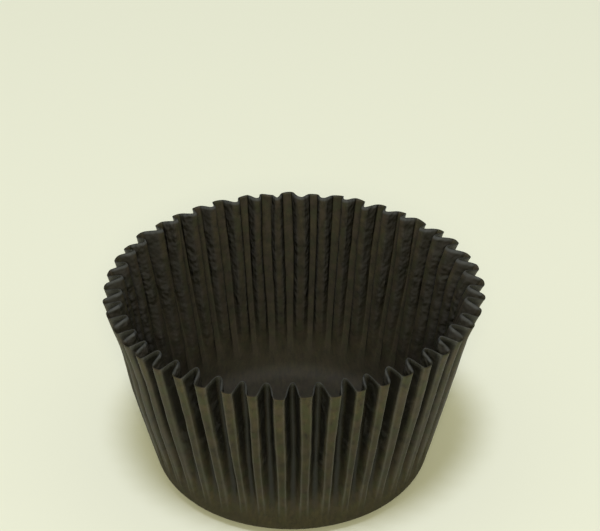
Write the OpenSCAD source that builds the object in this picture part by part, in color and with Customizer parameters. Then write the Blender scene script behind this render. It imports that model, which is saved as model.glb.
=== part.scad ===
// Fluted paper baking cup, pressed from one round sheet.
// The sheet's middle stays flat as the base. The rest is turned up round a soft
// bend and gathered into pleats, which grow deeper towards the mouth because the
// sheet's circumference grows faster than the wall's.
// Millimetres, +Z up. The origin is the centre of the base, on its underside.

/* [Base] */
// Diameter of the base, to the corner where the lines of base and wall meet
base_d = 50; // [44:1:56]
// Radius of the bend between base and wall, at the middle of the paper
foot_r = 3.4; // [2:0.2:5]

/* [Wall] */
// Length of the wall along the paper, from the base's corner to the cut edge
wall_l = 38; // [30:1:46]
// Diameter of the mouth, over the outer folds
mouth_d = 68; // [62:1:74]
// Thickness of the paper
paper_t = 0.12; // [0.1:0.01:0.2]

/* [Pleats] */
// Number of pleats round the wall
pleats = 45; // [36:1:52]
// Width of the flat strip on each outer fold, at the mouth
outer_flat_w = 2; // [1.2:0.05:2.4]
// Width of the same strip at the foot
outer_flat_foot_w = 1.1; // [0.6:0.05:1.6]
// Squareness of the inner folds: 2 is a parabola, higher is flatter with steeper sides
fold_square = 2.4; // [1.8:0.1:4]
// Plain wall between the bend and the start of the pleats
plain_l = 0.8; // [0:0.1:2]
// Length over which the pleats rise from the plain wall to their full depth
rise_l = 7; // [3:0.5:12]

/* [Hidden] */

// Steps round the bend, and rows of points up the pleated wall
foot_steps = 4;
wall_rows = 4;
// Power that crowds the rows towards the foot, where the pleats change most
row_crowding = 1.8;
// Halvings in the search for the pleat depth
depth_steps = 26;

// Wall line: its lean from the vertical, and the angle that the bend turns through
corner_r = base_d / 2;
wall_lean = asin((mouth_d / 2 - corner_r) / wall_l);
foot_turn = 90 - wall_lean;

// Bend: centre of its arc, its length along each straight side, and its own length
foot_side = foot_r * tan(foot_turn / 2);
foot_arc = foot_r * foot_turn * PI / 180;
flat_r = corner_r - foot_side;
foot_z = foot_r + paper_t / 2;

// Straight wall above the bend: its start, its length and the sheet's radius
wall_start_r = flat_r + foot_r * sin(foot_turn);
wall_start_z = foot_z - foot_r * cos(foot_turn);
straight_l = wall_l - foot_side;
sheet_r = flat_r + foot_arc + straight_l;

// One pleat: its angle, and the share of it in half a strip, w up the straight wall
pitch_angle = 360 / pleats;
mouth_share = outer_flat_w / 2 / (PI * mouth_d / pleats);
foot_share = outer_flat_foot_w / 2 / (2 * PI * wall_start_r / pleats);
function strip_share(w) = foot_share + (mouth_share - foot_share) * w / straight_l;

// Points across the arch of an inner fold, from one strip's edge to the next: 0 is the
// middle of the fold. The arch is 1 - |x|^fold_square.
arch_x = [-1, -0.8, -0.5, -0.18, 0.18, 0.5, 0.8, 1];
section_n = len(arch_x);
fine_n = pleats * section_n;
// The plain rings of the bend have one evenly spread point for each pair of these
plain_step = 2;
plain_n = fine_n / plain_step;
plain_each = plain_n / pleats;

// Angle round the axis of point c of a plain ring. An inner fold faces -Y.
function plain_angle(c) = (c + 0.5 - plain_each / 2) * 360 / plain_n - 90;

// Angle round the axis of column c, w up the straight wall, and its share of the depth
function column_angle(w, c) =
    (floor(c / section_n) + arch_x[c % section_n] * (0.5 - strip_share(w))) * pitch_angle - 90;
function column_share(c) = 1 - pow(abs(arch_x[c % section_n]), fold_square);

// Point on the middle of the paper, w up the straight wall, with the pleats d deep.
// Each fold is as long as the paper that it is made of, so a fold that leans
// inwards ends a little higher than one that stays on the wall's line.
function wall_point(w, d, c) =
    let (
        inset = d * column_share(c),
        along = sqrt(max(0, w * w - inset * inset)),
        r = wall_start_r + along * sin(wall_lean) - inset * cos(wall_lean),
        z = wall_start_z + along * cos(wall_lean) + inset * sin(wall_lean),
        a = column_angle(w, c)
    )
    [r * cos(a), r * sin(a), z];

// Length of the zigzag across one pleat, and of the sheet that it is made of
function pleat_length(w, d) =
    let (steps = [
        for (c = [0 : section_n - 1])
            norm(wall_point(w, d, c + 1) - wall_point(w, d, c))
    ])
    steps * [for (s = steps) 1];
function sheet_length(w) = 2 * PI * (flat_r + foot_arc + w) / pleats;

// Depth at which the zigzag uses up the sheet exactly, found by halving
function full_depth(w, low, high, steps) =
    let (middle = (low + high) / 2)
    steps == 0 ? middle :
    pleat_length(w, middle) > sheet_length(w)
        ? full_depth(w, low, middle, steps - 1)
        : full_depth(w, middle, high, steps - 1);

// Depth as it is pressed: none on the plain wall, then rising smoothly to the full depth
function rise(w) =
    let (x = min(1, max(0, (w - plain_l) / rise_l)))
    x * x * (3 - 2 * x);
function pleat_depth(w) = rise(w) * full_depth(w, 0, sheet_length(w) / 2, depth_steps);

// Middle of the paper up the pleated wall, with the plain row below it for its slope
row_heights = [
    for (i = [0 : wall_rows]) straight_l * pow(i / wall_rows, row_crowding)
];
row_depths = [for (w = row_heights) pleat_depth(w)];
wall_grid = [
    for (i = [0 : wall_rows])
        [for (c = [0 : fine_n - 1]) wall_point(row_heights[i], row_depths[i], c)]
];

// Outward step at row i and column c of the wall that lies 1 off the paper on both sides
// of the column
function unit(v) = v / norm(v);
function outward(i, c) =
    let (
        here = wall_grid[i][c],
        up = wall_grid[min(i + 1, wall_rows)][c] - wall_grid[i - 1][c],
        before = unit(cross(here - wall_grid[i][(c + fine_n - 1) % fine_n], up)),
        after = unit(cross(wall_grid[i][(c + 1) % fine_n] - here, up))
    )
    (before + after) / (1 + before * after);

// One face of the paper: side is 1 for the outside of the cup and -1 for the inside
function plain_ring(turn, side) = [
    for (c = [0 : plain_n - 1])
        let (
            a = plain_angle(c),
            bend = foot_r + side * paper_t / 2,
            r = flat_r + bend * sin(turn)
        )
        [r * cos(a), r * sin(a), foot_z - bend * cos(turn)]
];
function wall_ring(i, side) = [
    for (c = [0 : fine_n - 1])
        wall_grid[i][c] + outward(i, c) * side * paper_t / 2
];
function paper_face(side) = [
    for (i = [0 : foot_steps]) each plain_ring(foot_turn * i / foot_steps, side),
    for (i = [1 : wall_rows]) each wall_ring(i, side)
];
face_n = (foot_steps + 1) * plain_n + wall_rows * fine_n;

// Index of the first point of plain ring i and of wall row i, on a face that starts at base
function plain_at(base, i) = base + i * plain_n;
function wall_at(base, i) = base + (foot_steps + 1) * plain_n + (i - 1) * fine_n;

// Triangles between two rings of n points, and from a plain ring to a wall row
function band(lower, upper, n) = [
    for (c = [0 : n - 1])
        let (next = (c + 1) % n)
        each [
            [lower + c, upper + c, upper + next],
            [lower + c, upper + next, lower + next]
        ]
];
function gather(lower, upper) = [
    for (c = [0 : plain_n - 1])
        let (
            next = (c + 1) % plain_n,
            left = upper + plain_step * c,
            middle = left + 1,
            right = upper + plain_step * next
        )
        each [
            [lower + c, left, middle],
            [lower + c, middle, lower + next],
            [lower + next, middle, right]
        ]
];
function skin(base) = concat(
    [[for (c = [0 : plain_n - 1]) plain_at(base, 0) + c]],
    [for (i = [0 : foot_steps - 1]) each band(plain_at(base, i), plain_at(base, i + 1), plain_n)],
    gather(plain_at(base, foot_steps), wall_at(base, 1)),
    [for (i = [1 : wall_rows - 1]) each band(wall_at(base, i), wall_at(base, i + 1), fine_n)]
);
function turned_over(faces) = [
    for (f = faces) [for (k = [len(f) - 1 : -1 : 0]) f[k]]
];

// The whole cup: outer face, inner face turned over, and the cut edge between them
module liner() {
    color([0.13, 0.12, 0.1])
        polyhedron(
            points = concat(paper_face(1), paper_face(-1)),
            faces = concat(
                skin(0),
                turned_over(skin(face_n)),
                band(wall_at(0, wall_rows), wall_at(face_n, wall_rows), fine_n)
            ),
            convexity = 12
        );
}

liner();
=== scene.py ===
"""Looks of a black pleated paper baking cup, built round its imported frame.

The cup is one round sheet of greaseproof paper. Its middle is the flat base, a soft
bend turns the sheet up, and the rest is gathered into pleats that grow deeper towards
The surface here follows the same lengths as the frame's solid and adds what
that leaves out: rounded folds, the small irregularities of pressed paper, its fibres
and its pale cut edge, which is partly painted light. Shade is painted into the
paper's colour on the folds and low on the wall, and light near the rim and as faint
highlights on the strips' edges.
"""
import logging
import math
from dataclasses import dataclass, field
from enum import Enum
from typing import ClassVar

import bpy
import numpy as np
from mathutils import Matrix, Vector


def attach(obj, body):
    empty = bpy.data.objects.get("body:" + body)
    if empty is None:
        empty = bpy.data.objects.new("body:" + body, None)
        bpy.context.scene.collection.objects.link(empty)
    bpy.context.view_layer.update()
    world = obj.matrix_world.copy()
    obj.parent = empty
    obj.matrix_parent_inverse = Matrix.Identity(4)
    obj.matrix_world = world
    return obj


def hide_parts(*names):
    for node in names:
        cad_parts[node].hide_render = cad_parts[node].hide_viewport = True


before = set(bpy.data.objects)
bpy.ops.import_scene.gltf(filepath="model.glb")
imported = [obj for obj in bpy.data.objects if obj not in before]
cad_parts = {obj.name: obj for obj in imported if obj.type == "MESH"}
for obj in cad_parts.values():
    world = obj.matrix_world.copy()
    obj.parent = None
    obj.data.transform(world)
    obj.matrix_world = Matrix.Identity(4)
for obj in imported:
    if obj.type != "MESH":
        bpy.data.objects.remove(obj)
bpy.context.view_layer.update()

LOG = logging.getLogger("baking_cup")
MM = 0.001

Colour = tuple[float, float, float]
# A rise from 0 to 1: where it starts, and over how far it goes
Step = tuple[float, float]
# A size at the wall's foot, and the same size at its mouth
Graded = tuple[float, float]


class PaperFace(Enum):
    """The two faces of the sheet, by the sign of their step along its outward normal."""

    OUTSIDE = 1
    INSIDE = -1


def climb(
    value: np.ndarray, edge: float | np.ndarray, width: float | np.ndarray
) -> np.ndarray:
    """Rises from 0 to 1 as value goes from edge to edge + width."""
    return np.clip((value - edge) / width, 0, 1)


def eased(share: np.ndarray) -> np.ndarray:
    """Eases a rise from 0 to 1 at both ends: share^2 (3 - 2 share)."""
    return share * share * (3 - 2 * share)


def graded(ends: Graded, grown: np.ndarray) -> np.ndarray:
    """Goes in a straight line from the size at the foot to the one at the mouth."""
    foot, mouth = ends
    return foot + (mouth - foot) * grown


class Signal:
    """A value that travels through a material's nodes. Arithmetic on it adds Math nodes."""

    def __init__(self, net: "NodeNet", socket: bpy.types.NodeSocket) -> None:
        """Wraps one output socket of a node tree."""
        self.net = net
        self.socket = socket

    def _math(self, operation: str, *values: "Signal | float") -> "Signal":
        """Adds one Math node whose inputs are the values, in order."""
        inputs = dict(enumerate(values))
        return self.net.node("ShaderNodeMath", {"operation": operation}, inputs)["Value"]

    def __add__(self, other: "Signal | float") -> "Signal":
        """self + other."""
        return self._math("ADD", self, other)

    def __sub__(self, other: "Signal | float") -> "Signal":
        """self - other."""
        return self._math("SUBTRACT", self, other)

    def __rsub__(self, other: float) -> "Signal":
        """other - self."""
        return self._math("SUBTRACT", other, self)

    def __mul__(self, other: "Signal | float") -> "Signal":
        """self * other."""
        return self._math("MULTIPLY", self, other)

    def __truediv__(self, other: "Signal | float") -> "Signal":
        """self / other."""
        return self._math("DIVIDE", self, other)

    __radd__ = __add__
    __rmul__ = __mul__

    def clipped(self) -> "Signal":
        """self, held between 0 and 1."""
        settings = {"operation": "ADD", "use_clamp": True}
        return self.net.node("ShaderNodeMath", settings, {0: self, 1: 0.0})["Value"]

    def above(self, edge: float, width: float) -> "Signal":
        """Rises from 0 to 1 as self goes from edge to edge + width."""
        return ((self - edge) / width).clipped()

    def mix(self, low: "Signal | Colour", high: "Signal | Colour") -> "Signal":
        """Blends two colours by self, which is held between 0 and 1.

        Args:
            low: the colour where self is 0.
            high: the colour where self is 1.

        Returns:
            The blend.
        """
        inputs = {
            name: value if isinstance(value, Signal) else (*value, 1.0)
            for name, value in (("A_Color", low), ("B_Color", high))
        }
        inputs["Factor_Float"] = self
        settings = {"data_type": "RGBA", "clamp_factor": True}
        return self.net.node("ShaderNodeMix", settings, inputs)["Result_Color"]

    def scaled(self, factor: "Signal") -> "Signal":
        """self as a colour, lighter or darker by a factor."""
        inputs = {"Vector": self, "Scale": factor}
        return self.net.node("ShaderNodeVectorMath", {"operation": "SCALE"}, inputs)["Vector"]

    def bump(self, distance: float, under: "Signal | None" = None) -> "Signal":
        """Turns self, as a height, into the normal of a surface with that relief.

        Args:
            distance: how far a height of 1 stands out, in metres.
            under: the normal that it lies on, or None for the mesh's own.

        Returns:
            The normal.
        """
        inputs = {"Strength": 1.0, "Distance": distance, "Height": self}
        if under is not None:
            inputs["Normal"] = under
        return self.net.node("ShaderNodeBump", None, inputs)["Normal"]


def find_socket(
    sockets: bpy.types.bpy_prop_collection, key: "str | int"
) -> bpy.types.NodeSocket:
    """Finds a node's socket.

    Args:
        sockets: the node's inputs or outputs.
        key: the socket's index, its identifier, or its name.

    Returns:
        The first enabled socket that fits the key.
    """
    if isinstance(key, int):
        return sockets[key]
    return next(s for s in sockets if s.enabled and key in (s.identifier, s.name))


class NodeResult:
    """A node that was just added. Its outputs are read by name or index."""

    def __init__(self, net: "NodeNet", node: bpy.types.Node) -> None:
        """Keeps the node and the tree it is in."""
        self.net = net
        self.node = node

    def __getitem__(self, key: "str | int") -> Signal:
        """The output with that name, identifier or index."""
        return Signal(self.net, find_socket(self.node.outputs, key))


@dataclass(frozen=True)
class Grain:
    """How fine a noise is, in waves for each unit of its place, and how detailed."""

    scale: float
    detail: float
    roughness: float = 0.5


class NodeNet:
    """The node tree of one material or of the world, built by expressions."""

    def __init__(self, tree: bpy.types.NodeTree) -> None:
        """Takes over a node tree and empties it."""
        self.tree = tree
        tree.nodes.clear()

    def node(
        self, kind: str, settings: dict | None = None, inputs: dict | None = None
    ) -> NodeResult:
        """Adds any node.

        Args:
            kind: the node's type, such as ShaderNodeTexNoise.
            settings: its own settings, which are set first.
            inputs: for each input's name, identifier or index, a constant or a Signal.

        Returns:
            The node, whose outputs are read with square brackets.
        """
        node = self.tree.nodes.new(kind)
        for name, value in (settings or {}).items():
            setattr(node, name, value)
        for key, value in (inputs or {}).items():
            socket = find_socket(node.inputs, key)
            if isinstance(value, Signal):
                self.tree.links.new(value.socket, socket)
            else:
                socket.default_value = value
        return NodeResult(self, node)

    def vector(self, operation: str, *values: "Signal | tuple") -> Signal:
        """Adds one Vector Math node whose inputs are the values, in order."""
        inputs = dict(enumerate(values))
        return self.node("ShaderNodeVectorMath", {"operation": operation}, inputs)["Vector"]

    def noise(self, place: Signal, grain: Grain) -> Signal:
        """Adds noise of mean 0.5.

        Args:
            place: where on the surface the noise is read.
            grain: how fine and how detailed it is.

        Returns:
            The noise.
        """
        inputs = {"Vector": place, "Scale": grain.scale, "Detail": grain.detail}
        inputs["Roughness"] = grain.roughness
        return self.node("ShaderNodeTexNoise", {"noise_dimensions": "3D"}, inputs)["Fac"]


@dataclass(frozen=True)
class PaperSignals:
    """What the paper's colour and relief are worked out from, at each point of it."""

    # Distance past the cut edge along the paper, in millimetres: negative below it
    past: Signal
    # From 0 to 1: along the edges of the strips, on the folds' sides, where shade is
    # painted, along their middles, on the pleated wall, and on the sheet's inner face
    corner: Signal
    flank: Signal
    crest: Signal
    wall: Signal
    inside: Signal
    # Noises, and patches of 1 where the folds' sides are crinkled
    fibre: Signal
    speck: Signal
    mottle: Signal
    tint: Signal
    crinkle: Signal
    patch: Signal


@dataclass(frozen=True)
class BlackPaper:
    """Greaseproof paper dyed black through: fibres, faint mottling and a pale cut edge.

    Light and shade are painted into its colour too: on the folds, near the rim, low on
    the wall and below the cut edge. Distances on the flat sheet are in millimetres, and
    depths of the relief in metres.
    """

    # The dye: its two ends, what makes it lighter, and how lively the base is beside
    # the wall
    dark: Colour = (0.0165, 0.0144, 0.0084)
    light: Colour = (0.0550, 0.0465, 0.0215)
    fibre_weight: float = 1.3
    speck_weight: float = 0.6
    mottle_weight: float = 1.8
    tone_drop: float = 0.45
    base_liveliness: float = 0.35

    # Two faint tints, one where their noise is high and the other where it is low
    green: Colour = (0.0315, 0.0342, 0.0148)
    green_step: Step = (0.51, 0.12)
    plum: Colour = (0.0450, 0.0345, 0.0220)
    plum_step: Step = (0.37, 0.12)
    tint_share: float = 0.75

    # Painted light and shade by the distance past the cut edge, as if lit from above:
    # lighter near the cut edge, and darker in a band low on the pleats
    painted_rim_light: float = 0.30
    rim_step: Step = (-9.5, 4.5)
    painted_low_shade: float = 0.20
    lower_start: Step = (-29.0, 4.0)
    lower_end: Step = (-19.0, 6.0)

    # Outer face: painted shade, grey along the folds' middles and near black on their
    # sides, with lumps as grey as the middles where the crinkles stand out
    crest: Colour = (0.0205, 0.0216, 0.0215)
    crest_share: float = 0.85
    deep: Colour = (0.0019, 0.0019, 0.0016)
    flank_shade_share: float = 0.9
    lump_step: Step = (0.47, 0.12)
    lump_share: float = 0.60
    patch_step: Step = (0.40, 0.25)

    # Inner face, with a milder, greyer painted shade that is deepest on the folds' sides,
    # and the strips' edges, lighter partly by wear and partly by a painted highlight
    lining_shade: Colour = (0.0250, 0.0240, 0.0207)
    lining_shade_on_flank: float = 0.45
    lining_shade_all_over: float = 0.40
    # Lighter strips' edges: partly wear, partly a painted highlight
    wear_and_highlight: Colour = (0.075, 0.068, 0.045)
    wear_and_highlight_share: float = 0.10

    # Pale band below the cut edge of the folds, partly the paler cut paper and partly
    # painted light: its widths, the share over which it fades, how pale it is outside and
    # at the very edge, and what makes it patchy. At the very edge the strips get painted
    # shade instead
    cut: Colour = (0.056, 0.058, 0.052)
    inner_pale_width: float = 0.70
    outer_pale_width: float = 1.15
    pale_fade: float = 0.5
    outer_pale: float = 0.60
    edge_width: float = 0.15
    edge_share: float = 0.60
    strip_edge_shade: float = 0.60
    pale_crinkle: float = 1.6
    pale_fibre: float = 1.0
    pale_drop: float = 0.3

    # Gloss
    roughness: float = 0.44
    base_roughness: float = 0.18
    roughness_swing: float = 0.14
    flank_roughness: float = 0.25
    specular_level: float = 0.11
    corner_sheen: float = 0.55
    sheen_roughness: float = 0.35

    # Noises: the fibres' is drawn out along X, and the tints' is read to one side, so
    # that it differs from the mottling
    fibre_grain: Grain = Grain(1.5, 3.0, 0.65)
    fibre_stretch: float = 0.35
    speck_grain: Grain = Grain(3.45, 2.0)
    mottle_grain: Grain = Grain(0.42, 3.0)
    tint_grain: Grain = Grain(0.38, 2.0)
    tint_offset: float = 40.0
    crinkle_grain: Grain = Grain(0.62, 1.2)
    patch_grain: Grain = Grain(0.12, 1.0)

    # Relief: its depths, and how much of the crinkles each part of the wall has
    relief_depth: float = 0.014 * MM
    relief_speck: float = 0.5
    crinkle_depth: float = 0.80 * MM
    crinkle_anywhere: float = 0.10
    crinkle_on_flank: float = 0.15
    crinkle_in_patch: float = 0.75
    crinkle_inside: float = 0.45

    ATTRIBUTES: ClassVar[tuple[str, ...]] = ("corner", "flank", "crest", "wall", "inside")

    def build(self, sheet_radius: float) -> bpy.types.Material:
        """Makes the material.

        Args:
            sheet_radius: radius of the flat sheet, which the UV map spans, in metres.

        Returns:
            The material. It reads the sheet's UV map and its attributes.
        """
        material = bpy.data.materials.new("black_greaseproof_paper")
        material.use_nodes = True
        net = NodeNet(material.node_tree)
        at = self.read(net, sheet_radius / MM)
        rough = at.mottle * self.roughness_swing + at.flank * self.flank_roughness
        rough = rough + self.roughness + (1 - at.wall) * self.base_roughness
        shader = net.node(
            "ShaderNodeBsdfPrincipled",
            None,
            {
                "Base Color": self.edged(at, self.folded(at, self.dyed(at))),
                "Roughness": rough,
                "Specular IOR Level": self.specular_level,
                "Coat Weight": at.corner * (1 - at.inside) * self.corner_sheen,
                "Coat Roughness": self.sheen_roughness,
                "Normal": self.relief(at),
            },
        )
        net.node("ShaderNodeOutputMaterial", None, {"Surface": shader["BSDF"]})
        return material

    def read(self, net: NodeNet, rim: float) -> PaperSignals:
        """Adds the nodes that read the surface, and the noises.

        The UV map becomes a place on the flat sheet: UV x diameter - radius.

        Args:
            net: the material's nodes.
            rim: radius of the flat sheet, in millimetres.

        Returns:
            The signals.
        """
        flat = net.node("ShaderNodeUVMap", {"uv_map": "sheet"})["UV"]
        place = net.vector("MULTIPLY_ADD", flat, (2 * rim,) * 3, (-rim, -rim, 0.0))
        streaked = net.vector("MULTIPLY", place, (self.fibre_stretch, 1.0, 1.0))
        aside = net.vector("ADD", place, (self.tint_offset, 0.0, 0.0))
        length = net.node("ShaderNodeVectorMath", {"operation": "LENGTH"}, {0: place})
        attributes = {
            name: net.node("ShaderNodeAttribute", {"attribute_name": name})["Fac"]
            for name in self.ATTRIBUTES
        }
        return PaperSignals(
            past=length["Value"] - rim,
            fibre=net.noise(streaked, self.fibre_grain),
            speck=net.noise(place, self.speck_grain),
            mottle=net.noise(place, self.mottle_grain),
            tint=net.noise(aside, self.tint_grain),
            crinkle=net.noise(place, self.crinkle_grain),
            patch=net.noise(place, self.patch_grain).above(*self.patch_step),
            **attributes,
        )

    def dyed(self, at: PaperSignals) -> Signal:
        """Works out the flat paper's colour, which is evener on the base.

        Args:
            at: the signals of the surface.

        Returns:
            The colour: dark to light by the fibres, specks and mottling, with patches of
            the two tints, painted light near the rim and painted shade low on the pleats.
        """
        lively = at.wall * (1 - self.base_liveliness) + self.base_liveliness
        cloudy = (at.mottle - 0.5) * lively * self.mottle_weight
        tone = at.fibre * self.fibre_weight + at.speck * self.speck_weight + cloudy
        brown = (tone - self.tone_drop).clipped().mix(self.dark, self.light)
        tints = lively * self.tint_share
        greened = (at.tint.above(*self.green_step) * tints).mix(brown, self.green)
        low_tint = 1 - at.tint.above(*self.plum_step)
        tinted = (low_tint * tints).mix(greened, self.plum)
        # Painted light near the rim, and painted shade in a band low on the pleats
        gain = at.past.above(*self.rim_step) * self.painted_rim_light
        ended = at.past.above(*self.lower_end)
        low_band_shade = at.past.above(*self.lower_start) * (1 - ended) * self.painted_low_shade
        return tinted.scaled(gain - low_band_shade + 1.0)

    def folded(self, at: PaperSignals, dyed: Signal) -> Signal:
        """Lays the folds' painted shade, and the strips' lighter edges, over the paper's colour.

        Args:
            at: the signals of the surface.
            dyed: colour of the flat paper.

        Returns:
            The colour: on the outer face painted shade, grey along the folds' middles
            and near black on their sides, where crinkled patches have lumps as grey as
            the middles. The inner face is evener, with a milder, greyer painted shade
            that is deepest on the folds' sides, and the strips' edges are a little
            lighter, partly by wear and partly by a painted highlight.
        """
        outside = 1 - at.inside
        # Painted shade, grey, along the folds' middles on the outer face
        crested = (at.crest * outside * self.crest_share).mix(dyed, self.crest)
        lump = at.patch * at.crinkle.above(*self.lump_step) * self.lump_share
        shade = lump.mix(self.deep, self.crest)
        # Painted shade on the outer face: near black on the folds' sides, with grey lumps
        outer = (at.flank * outside * self.flank_shade_share).mix(crested, shade)
        # Milder, greyer painted shade over the inner face, deepest on the folds' sides
        inner_shade = at.inside * (at.flank * self.lining_shade_on_flank + self.lining_shade_all_over)
        body = inner_shade.mix(outer, self.lining_shade)
        # Strips' edges lighter, partly by wear and partly by a painted highlight
        return (at.corner * at.speck * self.wear_and_highlight_share).mix(body, self.wear_and_highlight)

    def edged(self, at: PaperSignals, folded: Signal) -> Signal:
        """Lays the cut edge over the colour: a pale band on the folds, none on the strips.

        The band is partly the paler cut paper and partly painted light. It fades over its
        lower part. It is dimmer on the outer face, patchy, and dimmer again at the very
        edge, where the strips are darkened towards the painted shade colour instead.

        Args:
            at: the signals of the surface.
            folded: colour of the paper below the edge.

        Returns:
            The colour.
        """
        wider = self.outer_pale_width - self.inner_pale_width
        width = (1 - at.inside) * wider + self.inner_pale_width
        # Painted light, over the paler cut paper, in a band below the cut edge of the folds
        at_cut = ((width + at.past) / (width * self.pale_fade)).clipped()
        at_edge = at.past.above(-self.edge_width, self.edge_width)
        facing = at.inside * (1 - self.outer_pale) + self.outer_pale
        patchy = at.crinkle * self.pale_crinkle + at.fibre * self.pale_fibre - self.pale_drop
        pale = at_cut * facing * patchy * (1 - at_edge * (1 - self.edge_share))
        # The strips' very edge is darkened towards the painted shade colour
        shaded = (at_edge * self.strip_edge_shade).mix(folded, self.deep)
        return (pale * (at.flank + at.crest)).mix(shaded, self.cut)

    def relief(self, at: PaperSignals) -> Signal:
        """Works out the relief: the fibres, and crinkles, deepest on the folds' sides.

        Args:
            at: the signals of the surface.

        Returns:
            The normal.
        """
        fine = (at.fibre + at.speck * self.relief_speck).bump(self.relief_depth)
        sides = at.patch * self.crinkle_in_patch + at.inside * self.crinkle_inside
        crinkled = at.flank * (sides + self.crinkle_on_flank) + self.crinkle_anywhere
        return (at.crinkle * crinkled * at.wall).bump(self.crinkle_depth, fine)


@dataclass(frozen=True)
class Ripple:
    """Small seeded waves over the wall: a sum of sines in the angle and the height."""

    size: float
    seed: int
    count: int
    turns: tuple[int, int]
    rise: tuple[float, float]

    def over(self, angle: np.ndarray, height: np.ndarray) -> np.ndarray:
        """Works out the waves.

        Each wave is sin(turns x angle + 2 pi x height / length + phase), with whole
        turns so that it closes round the cup, a length between the two of rise, and
        either slope. The sum is divided by the root of half the count, so that its
        spread is about the waves' size.

        Args:
            angle: angle round the axis, in radians.
            height: distance up the wall, in metres, of the same shape.

        Returns:
            The waves' sum, of the same shape.
        """
        rng = np.random.default_rng(self.seed)
        turns = rng.integers(self.turns[0], self.turns[1] + 1, self.count)
        length = rng.uniform(*self.rise, self.count) * rng.choice((-1.0, 1.0), self.count)
        phase = rng.uniform(0.0, 2 * math.pi, self.count)
        waves = np.sin(
            turns * angle[..., None] + 2 * math.pi * height[..., None] / length + phase
        )
        return self.size * (waves.sum(-1) / math.sqrt(self.count / 2))


@dataclass(frozen=True)
class MiddleSurface:
    """The middle of the paper: its values over a grid of rows and columns."""

    # Points, their X and Y on the flat sheet, a rise from 0 to 1 off the strips, and
    # what the material reads, by name
    points: np.ndarray
    flat: np.ndarray
    folded: np.ndarray
    shades: dict[str, np.ndarray]


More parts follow.
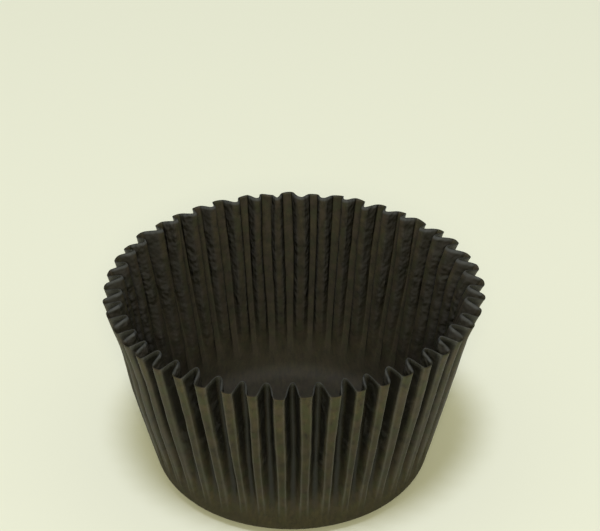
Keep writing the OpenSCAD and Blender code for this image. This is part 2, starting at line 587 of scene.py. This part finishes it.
@dataclass
class PaperCup:
    """The cup: one sheet with a flat base, a soft bend and a pleated wall."""

    # The frame's own lengths
    base_radius: float = 25.0 * MM
    foot_radius: float = 3.4 * MM
    wall_length: float = 38.0 * MM
    mouth_radius: float = 34.0 * MM
    paper: float = 0.12 * MM
    pleats: int = 45
    strip: float = 2.0 * MM
    strip_at_foot: float = 1.1 * MM

    # Pleats: squareness of the inner folds, the length over which they rise from the
    # bend, and their depth beside the one that uses up the sheet, found by halving
    fold_square: float = 2.8
    rise_length: float = 9.5 * MM
    depth_share: float = 1.08
    depth_halvings: int = 40

    # Strips: the softness of their corners, how many times as far the corners' sheen
    # reaches, and the hollow across a strip as a share of the pleats' depth
    corner_softness: float = 0.07
    corner_reach: float = 2.2
    strip_hollow: float = 0.012

    # Cut edge: its frayed thickness, the flare of the folds and the share of the depth
    # at which it is full, the strips' bulging tips and the folds' lift, with the powers
    # by which these two grow up the wall
    frayed: float = 0.15 * MM
    edge_flare: float = 0.20 * MM
    flare_share: float = 0.25
    tip_bulge: float = 0.14 * MM
    tip_power: int = 4
    fold_lift: float = 0.35 * MM
    lift_power: int = 3

    # Grid of points, whose last row lies the cut's width above the one before it
    strip_columns: int = 8
    arch_columns: int = 14
    base_rows: int = 5
    foot_rows: int = 8
    wall_rows: int = 36
    cut_width: float = 0.50 * MM

    # How much one pleat differs from the next: shift in pitches, the strip's width and
    # the fold's depth as shares of themselves, the fold's lift, and the strip's step out
    seed: int = 11
    strip_shift: float = 0.035
    strip_swing: float = 0.14
    depth_swing: float = 0.09
    lift_swing: float = 0.16 * MM
    standing_out: float = 0.08 * MM

    # How far the seeded waves move the folds, the paper and the cut edge, and how much
    # of the crumpling the strips have
    wander: Ripple = Ripple(0.13 * MM, 21, 14, (4, 26), (20 * MM, 70 * MM))
    wiggle: Ripple = Ripple(0.012 * MM, 22, 26, (20, 90), (3.6 * MM, 9 * MM))
    crumple: Ripple = Ripple(0.022 * MM, 23, 34, (45, 150), (3.2 * MM, 8 * MM))
    strip_crumple: float = 0.4
    edge_swing: Ripple = Ripple(0.10 * MM, 24, 12, (5, 40), (40 * MM, 90 * MM))

    # Out of round: a bow, an oval, a lip at one side of the mouth, and a dent
    bow: float = 0.28 * MM
    oval: float = 0.12 * MM
    oval_turn: float = 0.7
    lip: float = 1.25 * MM
    lip_length: float = 7.0 * MM
    lip_side: float = math.radians(6)
    lip_power: int = 6
    dent: float = 0.55 * MM
    dent_side: float = math.radians(192)
    dent_power: int = 8
    dent_height: float = 27.0 * MM
    dent_spread: float = 6.0 * MM

    # What the material reads: how fast the wall counts as pleated as its pleats deepen,
    # and how fast the corners shine after that; the share of the depth that is a fold's
    # middle; and the inset at which painted shade starts on its sides, over what further
    # inset it gets full, how strong it is low on the wall, and where up the wall it is full
    pleated_gain: float = 2.4
    corner_gain: float = 1.6
    crest_step: Step = (0.90, 0.08)
    painted_shade_from: Graded = (0.312 * MM, 0.120 * MM)
    painted_shade_over: Graded = (1.305 * MM, 0.315 * MM)
    lower_painted_shade: float = 0.55
    painted_shade_step: Step = (0.3, 0.3)

    lean: float = field(init=False)
    flat_radius: float = field(init=False)
    foot_arc: float = field(init=False)
    straight: float = field(init=False)
    # For each row, its distance from the sheet's centre, and up the straight wall
    reach: np.ndarray = field(init=False)
    up: np.ndarray = field(init=False)

    def __post_init__(self) -> None:
        """Works out the wall's lean, the lengths of the sheet's parts, and its rows."""
        self.lean = math.asin((self.mouth_radius - self.base_radius) / self.wall_length)
        turn = math.pi / 2 - self.lean
        side = self.foot_radius * math.tan(turn / 2)
        self.flat_radius = self.base_radius - side
        self.foot_arc = self.foot_radius * turn
        self.straight = self.wall_length - side
        self.reach = self.rows()
        self.up = np.maximum(self.reach - self.flat_radius - self.foot_arc, 0)

    @property
    def sheet_radius(self) -> float:
        """Radius of the flat sheet."""
        return self.flat_radius + self.foot_arc + self.straight

    def rows(self) -> np.ndarray:
        """Spaces the rows evenly on the base, on the bend and up the wall to the cut.

        Returns:
            Distance of each row from the sheet's centre, without the centre itself.
        """
        base = np.linspace(0.0, self.flat_radius, self.base_rows + 1)[1:]
        foot = self.flat_radius + np.linspace(0.0, self.foot_arc, self.foot_rows + 1)[1:]
        below_cut = self.straight - self.cut_width
        wall = foot[-1] + np.linspace(0.0, below_cut, self.wall_rows + 1)[1:]
        return np.concatenate([base, foot, wall, [wall[-1] + self.cut_width]])

    def profile(self) -> tuple[np.ndarray, np.ndarray]:
        """Plain profile of the sheet without pleats.

        Returns:
            Radius and height of the middle of the paper at each row: flat, then an arc
            of the foot's radius, then a straight line at the wall's lean.
        """
        turned = (self.reach - self.flat_radius) / self.foot_radius
        arc = np.clip(turned, 0, math.pi / 2 - self.lean)
        radius = np.minimum(self.reach, self.flat_radius) + self.foot_radius * np.sin(arc)
        height = self.paper / 2 + self.foot_radius * (1 - np.cos(arc))
        return radius + self.up * math.sin(self.lean), height + self.up * math.cos(self.lean)

    def strip_shares(self) -> np.ndarray:
        """Half the width of the outer strips, in a straight line from foot to mouth.

        Returns:
            The half width at each row, as a share of the pitch.
        """
        mouth = self.strip / 2 / (2 * math.pi * self.mouth_radius / self.pleats)
        foot = self.strip_at_foot / 2 / (2 * math.pi * self.base_radius / self.pleats)
        return graded((foot, mouth), self.up / self.straight)

    @staticmethod
    def spread(count: int) -> np.ndarray:
        """Columns from -1 to 1, which crowd towards both ends as a sine does."""
        return np.sin(np.pi * ((np.arange(count) + 0.5) / count - 0.5))

    def section(self) -> tuple[np.ndarray, np.ndarray, np.ndarray]:
        """Works out the section across one pleat at each row.

        A pleat is a strip on the wall's line and then an inner fold, an arch whose
        share of the depth is 1 - |x|^square, with x from -1 to 1 across it. The
        corner between them is softened: t, how far a column is from the strip's edge
        as a share of half the arch, goes through (t + sqrt(t^2 + softness^2)) / 2.
        A hollow of 1 - x^2 across the strip is added. The nearness to the corner is
        exp(-(t / (corner_reach x softness))^2).

        Returns:
            The columns' own coordinate, from -1 to 1 across the strip and then across
            the arch, and their share of the depth and nearness to the corner by row.
        """
        across = np.concatenate([self.spread(self.strip_columns), self.spread(self.arch_columns)])
        half = self.strip_shares()[:, None]
        on_arch = np.arange(len(across)) >= self.strip_columns
        off = 1 - np.abs(across)
        off = np.where(on_arch, off, -off * half / (0.5 - half))
        soft = (off + np.sqrt(off**2 + self.corner_softness**2)) / 2
        share = 1 - np.abs(1 - np.minimum(soft, 1)) ** self.fold_square
        share = share + self.strip_hollow * np.where(on_arch, 0, 1 - across**2)
        return across, share, np.exp(-((off / (self.corner_reach * self.corner_softness)) ** 2))

    def places(
        self, across: np.ndarray, half: np.ndarray, centre: np.ndarray, gain: np.ndarray
    ) -> np.ndarray:
        """Places of all the columns round the cup, in pitches.

        Args:
            across: the columns' own coordinate across a strip and the arch after it.
            half: half the strip's width at each row, as a share of the pitch.
            centre: place of each strip's middle.
            gain: each strip's width, as a share of the usual one.

        Returns:
            The place over rows, pleats and columns.
        """
        side = half[:, None] * gain
        left = (centre - side)[..., None]
        right = (centre + side)[..., None]
        ahead = np.concatenate([left[:, 1:], left[:, :1] + self.pleats], axis=1)
        strip = left + (right - left) * (across[: self.strip_columns] + 1) / 2
        arch = right + (ahead - right) * (across[self.strip_columns :] + 1) / 2
        return np.concatenate([strip, arch], axis=-1)

    def zigzag(self, place: np.ndarray, share: np.ndarray, depth: np.ndarray) -> np.ndarray:
        """Lengths of the steps across one pleat, from each column to the next.

        Args:
            place: places of one pleat's columns in pitches, by row.
            share: their shares of the depth, by row.
            depth: depth of the pleats at each row.

        Returns:
            The lengths, by row and column.
        """
        radius, _ = self.profile()
        angle = np.append(place, place[:, :1] + 1, axis=1) * 2 * math.pi / self.pleats
        inset = depth[:, None] * np.append(share, share[:, :1], axis=1)
        inward = radius[:, None] - inset * math.cos(self.lean)
        points = np.stack(
            [inward * np.cos(angle), inward * np.sin(angle), inset * math.sin(self.lean)], -1
        )
        return np.linalg.norm(np.diff(points, axis=1), axis=-1)

    def pleat_depths(self, place: np.ndarray, share: np.ndarray) -> np.ndarray:
        """Depth of the pleats at each row.

        The zigzag across one pleat is as long as the sheet's circumference there
        divided by the number of pleats. The depth that gives that length is found by
        halving. Above the bend it rises smoothly from nothing, to a little more than
        that depth.

        Args:
            place: places of one regular pleat's columns, by row.
            share: their shares of the depth, by row.

        Returns:
            One depth for each row.
        """
        sheet = 2 * math.pi * self.reach / self.pleats
        low = np.zeros_like(sheet)
        high = sheet / 2
        for _ in range(self.depth_halvings):
            middle = (low + high) / 2
            too_long = self.zigzag(place, share, middle).sum(1) > sheet
            low = np.where(too_long, low, middle)
            high = np.where(too_long, middle, high)
        return low * eased(climb(self.up, 0.0, self.rise_length)) * self.depth_share

    def out_of_round(self, plain: np.ndarray, rise: np.ndarray) -> np.ndarray:
        """How far the wall stands off its plain cone.

        Four parts: a bow of 4 s (1 - s) from the flat base to the cut edge, an oval
        that grows up the wall, a lip at one side, where the last stretch below the cut
        edge bends outwards, and a shallow dent across from it. Round the cup the lip
        and the dent fade as powers of a cosine.

        Args:
            plain: angle round the axis, by row and column.
            rise: distance up the straight wall, by row and column.

        Returns:
            The distance outwards, by row and column.
        """
        run = climb(self.reach, self.flat_radius, self.sheet_radius - self.flat_radius)
        bow = self.bow * 4 * run * (1 - run)
        oval = self.oval * np.cos(2 * plain + self.oval_turn) * rise / self.straight
        near = climb(rise, self.straight - self.lip_length, self.lip_length)
        around = np.maximum(np.cos(plain - self.lip_side), 0) ** self.lip_power
        lip = self.lip * around * near**2
        around = np.maximum(np.cos(plain - self.dent_side), 0) ** self.dent_power
        dent = self.dent * around * np.exp(-(((rise - self.dent_height) / self.dent_spread) ** 2))
        return bow[:, None] + oval + lip - dent

    def uneven_pleats(self) -> dict[str, np.ndarray]:
        """Draws how each pleat differs from a regular one.

        Returns:
            For each pleat: the strip's shift round the cup in pitches and its width as
            a share of the usual one, the inner fold's depth as a share of the usual one
            and its lift at the cut edge, and how far in or out the strip stands.
        """
        rng = np.random.default_rng(self.seed)
        return {
            "shift": rng.normal(0, self.strip_shift, self.pleats),
            "gain": 1 + rng.uniform(-self.strip_swing, self.strip_swing, self.pleats),
            "deeper": 1 + rng.uniform(-self.depth_swing, self.depth_swing, self.pleats),
            "lift": self.fold_lift + rng.uniform(-self.lift_swing, self.lift_swing, self.pleats),
            "out": rng.normal(0, self.standing_out, self.pleats),
        }

    def middle_surface(self) -> MiddleSurface:
        """Works out the middle of the paper as a grid of rows and columns.

        A point's inset is its share of its row's depth, square to the plain wall. The
        paper of each fold keeps its length, so along the wall it lies at
        sqrt(up^2 - inset^2). Each strip is shifted round the cup, widened and moved
        in or out a little, each inner fold is deepened and lifted a little, the
        strips' tips bulge, and seeded waves move the folds and crumple the paper.

        Returns:
            The surface.
        """
        half = self.strip_shares()
        across, share, corner = self.section()
        middles = np.arange(self.pleats) + 0.5
        regular = self.places(across, half, middles, np.ones(self.pleats))[:, 0]
        depths = self.pleat_depths(regular, share)
        flat = self.flat_places(regular, share, depths)

        uneven = self.uneven_pleats()
        place = self.places(across, half, middles + uneven["shift"], uneven["gain"])
        plain = place.reshape(len(place), -1) * 2 * math.pi / self.pleats - math.pi / 2
        deeper, lift, out = (
            np.repeat(uneven[name], len(across)) for name in ("deeper", "lift", "out")
        )
        on_strip = np.arange(len(across)) < self.strip_columns
        tip = np.tile(np.where(on_strip, 1 - across**2, 0), self.pleats)
        share = np.tile(share, self.pleats)
        rise = np.broadcast_to(self.up[:, None], plain.shape)
        grown = rise / self.straight
        started = self.started(depths)[:, None]

        radius, height = (v[:, None] for v in self.profile())
        aside = self.wander.over(plain, rise) * grown
        aside = aside + self.wiggle.over(plain, rise) * started
        theta = plain + aside / radius
        inset = depths[:, None] * share * deeper - out * (1 - share) * grown
        inset = inset - self.tip_bulge * tip * grown**self.tip_power
        edge = self.edge_swing.over(plain, rise) + lift * share
        along = np.sqrt(np.maximum(rise**2 - inset**2, 0)) - rise
        along = along + edge * grown**self.lift_power
        radius = radius + along * math.sin(self.lean) - inset * math.cos(self.lean)
        radius = radius + self.out_of_round(plain, rise)
        height = height + along * math.cos(self.lean) + inset * math.sin(self.lean)
        points = np.stack([radius * np.cos(theta), radius * np.sin(theta), height], -1)
        crumple = self.crumple.over(plain, rise) * started
        crumple = crumple * (self.strip_crumple + (1 - self.strip_crumple) * share)
        return MiddleSurface(
            points=points + self.normals(points) * crumple[..., None],
            flat=flat,
            folded=np.clip(share / self.flare_share, 0, 1),
            shades=self.shades(depths, share, np.tile(corner, self.pleats), grown),
        )

    def flat_places(
        self, place: np.ndarray, share: np.ndarray, depths: np.ndarray
    ) -> np.ndarray:
        """Where each point lies on the flat sheet, which the material's patterns follow.

        Round the sheet's centre, each pleat has an equal angle, and within it the angle
        grows with the length of zigzag that is used up.

        Args:
            place: places of one regular pleat's columns, by row.
            share: their shares of the depth, by row.
            depths: depth of the pleats at each row.

        Returns:
            X and Y on the flat sheet, by row and column.
        """
        steps = self.zigzag(place, share, depths)
        spent = (np.cumsum(steps, axis=1) - steps) / steps.sum(1)[:, None]
        angle = (np.arange(self.pleats)[:, None] + spent[:, None]) * 2 * math.pi / self.pleats
        angle = angle.reshape(len(angle), -1)
        return self.reach[:, None, None] * np.stack([np.cos(angle), np.sin(angle)], -1)

    def started(self, depths: np.ndarray) -> np.ndarray:
        """Goes from 0 to 1 from row to row as the pleats deepen."""
        return np.clip(depths / depths.max() * self.pleated_gain, 0, 1)

    def shades(
        self, depths: np.ndarray, share: np.ndarray, corner: np.ndarray, grown: np.ndarray
    ) -> dict[str, np.ndarray]:
        """Works out what the material reads, each from 0 to 1.

        Args:
            depths: depth of the pleats at each row.
            share: share of the depth, by row and column.
            corner: nearness to a strip's corner, by row and column.
            grown: how far up the straight wall, from 0 to 1, by row and column.

        Returns:
            By row and column: corner, and wall where the paper is pleated; crest along
            the inner folds' middles, and flank beside them, the mask of painted shade,
            which starts at a graded inset and is weaker low on the wall.
        """
        started = self.started(depths)[:, None] * np.ones_like(grown)
        crest = climb(share, *self.crest_step)
        inset = depths[:, None] * share
        # Painted shade on the folds' sides: from a graded inset, weaker low on the wall
        dark = climb(inset, graded(self.painted_shade_from, grown), graded(self.painted_shade_over, grown))
        higher = eased(climb(grown, *self.painted_shade_step))
        return {
            "corner": corner * np.clip(started * self.corner_gain, 0, 1),
            "flank": dark * graded((self.lower_painted_shade, 1.0), higher) * (1 - crest),
            "crest": crest * started,
            "wall": started,
        }

    @staticmethod
    def normals(points: np.ndarray) -> np.ndarray:
        """Works out the grid's normals: across the columns, crossed with up the rows.

        Args:
            points: the points, by row and column.

        Returns:
            The outward unit normals, by row and column.
        """
        across = np.roll(points, -1, axis=1) - np.roll(points, 1, axis=1)
        upward = np.gradient(points, axis=0)
        normal = np.cross(across, upward)
        return normal / np.linalg.norm(normal, axis=-1, keepdims=True)

    def base_height(self, side: PaperFace) -> float:
        """Height of one face of the base: 0 outside, the paper's thickness inside."""
        return self.paper / 2 * (1 - side.value)

    def two_faces(self, sheet: MiddleSurface) -> list[np.ndarray]:
        """Sets both faces off the middle by half the paper's thickness.

        The cut edge is a little thicker, as it is frayed, and on the folds it flares
        outwards. The base is exactly flat.

        Args:
            sheet: the middle of the paper.

        Returns:
            The outer and the inner face's points, by row and column.
        """
        normal = self.normals(sheet.points)
        normal[0] = (0.0, 0.0, -1.0)
        half = np.full((len(normal), 1, 1), self.paper / 2)
        half[-1] = self.frayed / 2
        middle = sheet.points.copy()
        middle[-1] += normal[-1] * self.edge_flare * sheet.folded[-1][:, None]
        faces = [middle + normal * side.value * half for side in PaperFace]
        for side, face in zip(PaperFace, faces):
            face[: self.base_rows, :, 2] = self.base_height(side)
        return faces

    @staticmethod
    def skin(rows: int, around: int) -> tuple[list[list[int]], np.ndarray]:
        """Lists the polygons: both faces, the cut edge, and the two middles of the base.

        Points are counted along the rows of the outer face, then of the inner one, and
        the last two are the middle of the base's outer and inner side.

        Args:
            rows: number of rows on each face.
            around: number of points in each row.

        Returns:
            The polygons, and which of them are shaded smooth: all but the cut edge's.
        """
        count = rows * around
        index = np.arange(count).reshape(rows, around)
        ahead = np.roll(index, -1, axis=1)
        quads = np.stack([index[:-1], ahead[:-1], ahead[1:], index[1:]], -1).reshape(-1, 4)
        cut = np.stack([index[-1], ahead[-1], ahead[-1] + count, index[-1] + count], -1)
        middle = np.full(around, 2 * count)
        outer_fan = np.stack([ahead[0], index[0], middle], -1)
        inner_fan = np.stack([index[0] + count, ahead[0] + count, middle + 1], -1)
        parts = (quads, quads[:, ::-1] + count, cut, outer_fan, inner_fan)
        polygons = [polygon for part in parts for polygon in part.tolist()]
        return polygons, np.concatenate([np.full(len(part), part is not cut) for part in parts])

    def build(self, finish: BlackPaper) -> bpy.types.Object:
        """Builds the cup as one closed mesh and dresses it.

        Args:
            finish: the paper's finish.

        Returns:
            The cup's object, which stands for the frame's own solid.
        """
        sheet = self.middle_surface()
        rows, around = sheet.folded.shape
        faces = [face.reshape(-1, 3) for face in self.two_faces(sheet)]
        middles = np.array([[0.0, 0.0, self.base_height(side)] for side in PaperFace])
        polygons, is_smooth = self.skin(rows, around)

        mesh = bpy.data.meshes.new("baking_cup")
        mesh.from_pydata(np.concatenate([*faces, middles]).tolist(), [], polygons)
        mesh.polygons.foreach_set("use_smooth", is_smooth)
        uv = (sheet.flat / (2 * self.sheet_radius) + 0.5).reshape(-1, 2)
        self.add_uv(mesh, np.concatenate([uv, uv, np.full((2, 2), 0.5)]))
        for name, shade in sheet.shades.items():
            values = np.concatenate([shade.ravel(), shade.ravel(), (0.0, 0.0)])
            self.add_attribute(mesh, name, values)
        inside = np.concatenate([np.repeat((0.0, 1.0), rows * around), (0.0, 1.0)])
        self.add_attribute(mesh, "inside", inside)
        mesh.materials.append(finish.build(self.sheet_radius))
        mesh.validate()
        cup = bpy.data.objects.new("baking_cup", mesh)
        bpy.context.scene.collection.objects.link(cup)
        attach(cup, "root")
        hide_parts("liner")
        return cup

    @staticmethod
    def add_attribute(mesh: bpy.types.Mesh, name: str, values: np.ndarray) -> None:
        """Gives every point of the mesh a value that the material reads by name."""
        mesh.attributes.new(name, "FLOAT", "POINT").data.foreach_set("value", values)

    @staticmethod
    def add_uv(mesh: bpy.types.Mesh, uv: np.ndarray) -> None:
        """Gives every corner of the mesh the flat sheet's coordinates of its point.

        Args:
            mesh: the cup's mesh.
            uv: the coordinates, for each point of the mesh.
        """
        layer = mesh.uv_layers.new(name="sheet")
        corner = np.empty(len(mesh.loops), np.int32)
        mesh.loops.foreach_get("vertex_index", corner)
        layer.data.foreach_set("uv", uv[corner].astype(np.float32).ravel())


@dataclass(frozen=True)
class PaleTable:
    """A plain matt pale table top, with a very faint unevenness."""

    colour: Colour = (0.770, 0.785, 0.615)
    deep: Colour = (0.755, 0.770, 0.600)
    roughness: float = 0.9
    specular_level: float = 0.1
    unevenness: Grain = Grain(3.0, 2.0)

    def build(self) -> bpy.types.Material:
        """Makes the material.

        Returns:
            The material, on Object coordinates.
        """
        material = bpy.data.materials.new("pale_table")
        material.use_nodes = True
        net = NodeNet(material.node_tree)
        uneven = net.noise(net.node("ShaderNodeTexCoord")["Object"], self.unevenness)
        shader = net.node(
            "ShaderNodeBsdfPrincipled",
            None,
            {
                "Base Color": uneven.mix(self.deep, self.colour),
                "Roughness": self.roughness,
                "Specular IOR Level": self.specular_level,
            },
        )
        net.node("ShaderNodeOutputMaterial", None, {"Surface": shader["BSDF"]})
        return material


@dataclass(frozen=True)
class SoftLamp:
    """A soft disc lamp that lights the floor to a given share of full white.

    Its bearing is how far it stands to the right of the zenith and to the back of it,
    in degrees.
    """

    name: str
    bearing: tuple[float, float]
    share: Colour
    size: float
    distance: float = 2.0
    target: tuple[float, float, float] = (0.0, 0.0, 0.02)

    def build(self) -> None:
        """Adds the lamp. Power is share x pi^2 x distance^2 over the sine of its height."""
        right, back = (math.radians(a) for a in self.bearing)
        away = Vector((math.sin(right), math.sin(back), 0.0))
        away.z = math.sqrt(1 - away.length_squared)
        lamp = bpy.data.lights.new(self.name, "AREA")
        lamp.shape = "DISK"
        lamp.size = self.size
        strength = max(self.share)
        lamp.color = tuple(c / strength for c in self.share)
        lamp.energy = strength * math.pi**2 * self.distance**2 / away.z
        item = bpy.data.objects.new(self.name, lamp)
        item.location = Vector(self.target) + away * self.distance
        item.rotation_euler = (-away).to_track_quat("-Z", "Y").to_euler()
        bpy.context.scene.collection.objects.link(item)


@dataclass
class Studio:
    """Floor, soft light and the camera at the photograph's angle."""

    floor_radius: float = 3.0
    floor_sides: int = 96
    backdrop: Colour = (0.790, 0.805, 0.640)
    ambient: Colour = (0.36, 0.36, 0.30)
    lamps: tuple[SoftLamp, ...] = (
        SoftLamp("overhead", (-1.8, -14.0), (0.48, 0.50, 0.645), 0.50),
        SoftLamp("front", (0.0, -55.0), (0.30, 0.28, 0.20), 0.50),
    )

    camera_distance: float = 400 * MM
    camera_elevation: float = math.radians(32.79)
    camera_azimuth: float = math.radians(-0.69)
    camera_roll: float = -0.0052
    camera_target: tuple[float, float, float] = (1.70 * MM, 0.0, 41.95 * MM)
    lens_mm: float = 132.64
    sensor_mm: float = 36.0
    clip_start: float = 10 * MM

    def build(self) -> None:
        """Adds the floor, the world's light, the lamps and the camera."""
        self.add_floor()
        self.add_world()
        for lamp in self.lamps:
            lamp.build()
        self.add_camera()

    def add_floor(self) -> None:
        """Adds a round floor at height 0: one polygon with its points on a circle."""
        turn = np.linspace(0, 2 * np.pi, self.floor_sides, endpoint=False)
        circle = np.stack([np.cos(turn), np.sin(turn), np.zeros_like(turn)], -1)
        points = (circle * self.floor_radius).tolist()
        mesh = bpy.data.meshes.new("table_top")
        mesh.from_pydata(points, [], [list(range(self.floor_sides))])
        mesh.materials.append(PaleTable().build())
        floor = bpy.data.objects.new("table_top", mesh)
        bpy.context.scene.collection.objects.link(floor)

    def add_world(self) -> None:
        """Adds even, slightly warm light from all round, and the camera's backdrop."""
        world = bpy.data.worlds.new("studio")
        world.use_nodes = True
        bpy.context.scene.world = world
        net = NodeNet(world.node_tree)
        light = net.node("ShaderNodeBackground", None, {"Color": (*self.ambient, 1)})
        seen = net.node("ShaderNodeBackground", None, {"Color": (*self.backdrop, 1)})
        camera = net.node("ShaderNodeLightPath")["Is Camera Ray"]
        both = net.node("ShaderNodeMixShader", None, {0: camera, 1: light[0], 2: seen[0]})
        net.node("ShaderNodeOutputWorld", None, {"Surface": both[0]})

    def add_camera(self) -> None:
        """Adds the camera, on the photograph's line of sight."""
        data = bpy.data.cameras.new("camera")
        data.lens = self.lens_mm
        data.sensor_width = self.sensor_mm
        data.clip_start = self.clip_start
        camera = bpy.data.objects.new("camera", data)
        turn = Matrix.Rotation(self.camera_azimuth, 3, "Z")
        tilt = Matrix.Rotation(math.pi / 2 - self.camera_elevation, 3, "X")
        roll = Matrix.Rotation(self.camera_roll, 3, "Z")
        line_of_sight = tilt @ Vector((0.0, 0.0, self.camera_distance))
        camera.location = turn @ (Vector(self.camera_target) + line_of_sight)
        camera.rotation_euler = (turn @ tilt @ roll).to_euler()
        bpy.context.scene.collection.objects.link(camera)
        bpy.context.scene.camera = camera


def main() -> None:
    """Builds the cup and its studio, and reports each piece."""
    logging.basicConfig(level=logging.INFO, format="%(name)s: %(message)s")
    bpy.context.scene.view_settings.view_transform = "Standard"
    cup = PaperCup().build(BlackPaper())
    LOG.info("%s has %d faces", cup.name, len(cup.data.polygons))
    Studio().build()
    LOG.info("studio is ready")


if __name__ == "__main__":
    main()
